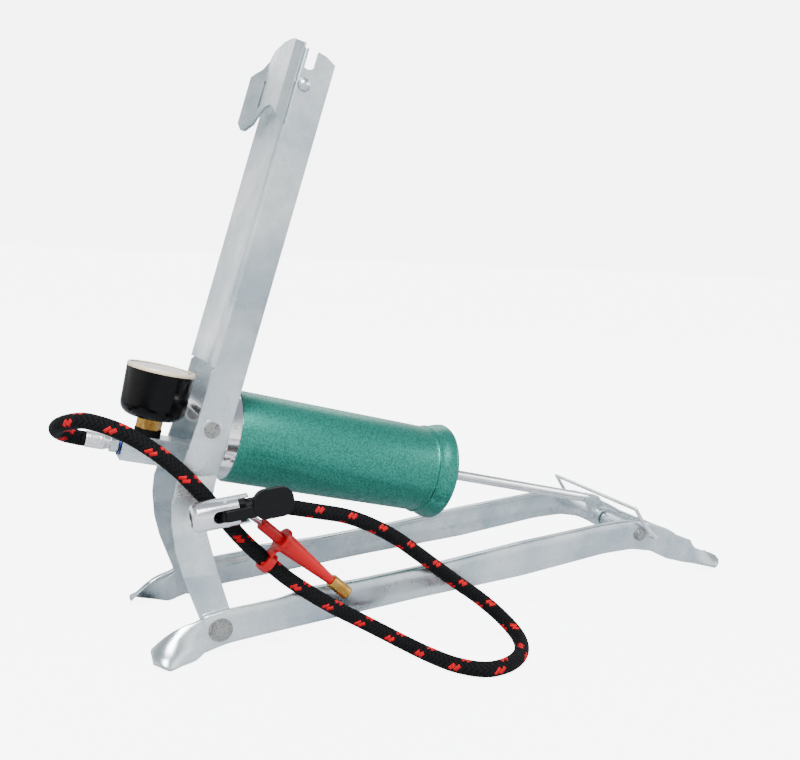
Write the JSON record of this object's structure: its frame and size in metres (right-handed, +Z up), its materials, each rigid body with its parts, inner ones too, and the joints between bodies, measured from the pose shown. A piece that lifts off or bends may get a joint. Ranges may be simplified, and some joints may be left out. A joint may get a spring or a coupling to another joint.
{
  "type": "foot pump",
  "caption": "Foot-operated tyre pump: pedal lever and tilted green barrel on a folding steel base, pressure gauge, braided hose with thumb-lever chuck and valve adapter.",
  "frame": {"origin": "middle of the part on the floor, in the central plane between the two rails", "axes": "+X from the lever end to the piston rod end, +Y to the side away from the hose, +Z up"},
  "size_m": [0.4345, 0.1505, 0.3038],
  "materials": {
    "zinc": "bright zinc-plated pressed steel, faint spangle",
    "green_enamel": "hammered green enamel, glossy",
    "bright_cap": "polished bright metal",
    "black_case": "smooth black gloss",
    "cream_ring": "cream plastic",
    "dial_face": "printed scale with numbers",
    "needle": "satin black",
    "lens": "clear, glossy",
    "brass": "machined",
    "black_rubber": "dull",
    "braid": "woven black braid with red tracer threads",
    "ferrule_metal": "crimped, satin",
    "chuck_metal": "bright nickel plate",
    "black_plastic": "moulded, satin",
    "red_plastic": "moulded",
    "rod_steel": "bright drawn"
  },
  "bodies": {
    "base": {"front_rail": "zinc", "back_rail": "zinc", "lever_pins": "zinc", "rod_pin": "zinc", "rod_pin_spacers": "zinc"},
    "latch": {"latch_wire": "rod_steel"},
    "lever": {"lever_channel": "zinc", "stop_bar": "rod_steel", "foot_plate": "zinc", "plate_rivets": "zinc", "head_bolts": "rod_steel", "head_washers": "zinc"},
    "cylinder": {"barrel": "green_enamel", "head_cap": "bright_cap", "outlet_arm": "zinc", "check_ball": "rod_steel", "check_spring": "rod_steel", "gauge_seal": "black_rubber", "gauge_nut": "brass", "gauge_case": "black_case", "gauge_bezel": "cream_ring", "gauge_dial": "dial_face", "gauge_lens": "lens", "hose_washer": "black_rubber", "hose_nut": "zinc", "ferrule": "ferrule_metal"},
    "needle": {"gauge_needle": "needle"},
    "piston": {"piston_plate": "zinc", "piston_cup": "black_rubber", "piston_socket": "zinc", "return_spring": "rod_steel"},
    "rod": {"piston_rod": "rod_steel", "rod_end": "zinc"},
    "hose": {"hose": "braid", "chuck_body": "chuck_metal", "chuck_seal": "black_rubber", "chuck_stem": "black_plastic", "thumb_pin": "rod_steel", "adapter_peg": "rod_steel", "adapter_cone": "red_plastic", "adapter_tip": "brass", "hose_clip": "red_plastic"},
    "thumb": {"thumb_lever": "black_plastic"}
  },
  "joints": [
    {"name": "lever_hinge", "type": "hinge", "parent": "base", "child": "lever", "pos_m": [-0.14781, 0, 0.014], "axis": [0, 1, 0], "range_deg": [0, 50], "stiffness_Nm_per_rad": 6, "springref_deg": -20.05},
    {"name": "barrel_hinge", "type": "hinge", "parent": "lever", "child": "cylinder", "pos_m": [-0.15081, 0, 0.113], "axis": [0, 1, 0], "range_deg": [-55, 0.5]},
    {"name": "piston_slide", "type": "slide", "parent": "cylinder", "child": "piston", "axis": [0.9777, 0, -0.21], "range_m": [-0.083, 0.0005], "deforming": ["return_spring"]},
    {"name": "rod_hinge", "type": "hinge", "parent": "base", "child": "rod", "pos_m": [0.11019, 0, 0.041], "axis": [0, 1, 0], "range_deg": [-5, 0.1]},
    {"name": "hose_follow", "type": "hinge", "parent": "cylinder", "child": "hose", "pos_m": [0.27119, 0, 0.99], "axis": [0, 1, 0], "range_deg": [-0.1, 5]},
    {"name": "latch_swing", "type": "hinge", "parent": "base", "child": "latch", "pos_m": [0.12089, 0, 0.0385], "axis": [0, 1, 0], "range_deg": [0, 100]},
    {"name": "needle_turn", "type": "hinge", "parent": "cylinder", "child": "needle", "pos_m": [-0.17173, 0, 0.13703], "axis": [-0.21, 0, -0.9777], "range_deg": [0, 260], "stiffness_Nm_per_rad": 0.0002},
    {"name": "thumb_swing", "type": "hinge", "parent": "hose", "child": "thumb", "pos_m": [-0.15143, -0.0604, 0.08085], "axis": [0.1219, 0, -0.9925], "range_deg": [0, 90]}
  ],
  "couplings": [
    {"joint": "barrel_hinge", "follows": "lever_hinge", "ratio": -1.0986},
    {"joint": "piston_slide", "follows": "lever_hinge", "m_per_rad": -0.09482},
    {"joint": "rod_hinge", "follows": "lever_hinge", "ratio": -0.0986},
    {"joint": "hose_follow", "follows": "lever_hinge", "ratio": 0.0986}
  ]
}
